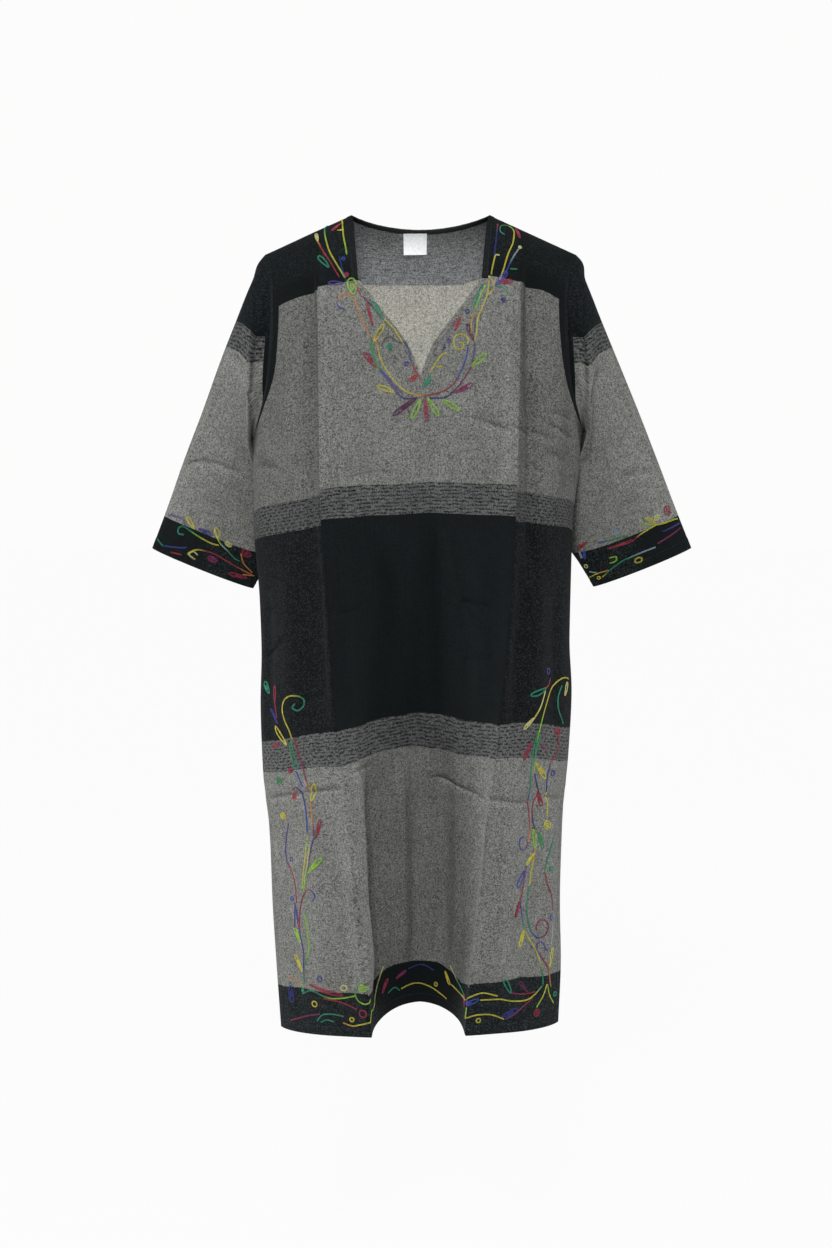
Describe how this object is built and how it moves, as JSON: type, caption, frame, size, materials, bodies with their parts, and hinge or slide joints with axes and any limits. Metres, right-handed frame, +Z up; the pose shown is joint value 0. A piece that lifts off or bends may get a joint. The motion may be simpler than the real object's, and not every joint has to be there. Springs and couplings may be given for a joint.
{
  "type": "kurta tunic",
  "caption": "Long straight kurta tunic with a V neck, three-quarter sleeves, side slits, woven bands and stitched vines, filled out hollow as if worn.",
  "frame": {"origin": "midway between the two points where the neck meets the shoulder seams, where the wearer's shoulders hold the garment", "axes": "+X across the garment to the wearer's left, +Y from the front to the back, so the front faces -Y, +Z up"},
  "size_m": [0.7422, 0.1994, 1.1269],
  "materials": {
    "body_cloth": "matte handwoven cotton in black, grey and flecked bands",
    "sleeve_cloth": "matte handwoven cotton, grey with a flecked band and a black cuff",
    "binding_cloth": "matte black cotton, folded",
    "label_cloth": "smooth white woven tape, blank"
  },
  "bodies": {
    "root": {"front": "body_cloth", "back": "body_cloth", "sleeve_left": "sleeve_cloth", "sleeve_right": "sleeve_cloth", "neck_binding": "binding_cloth", "label": "label_cloth"}
  },
  "joints": []
}
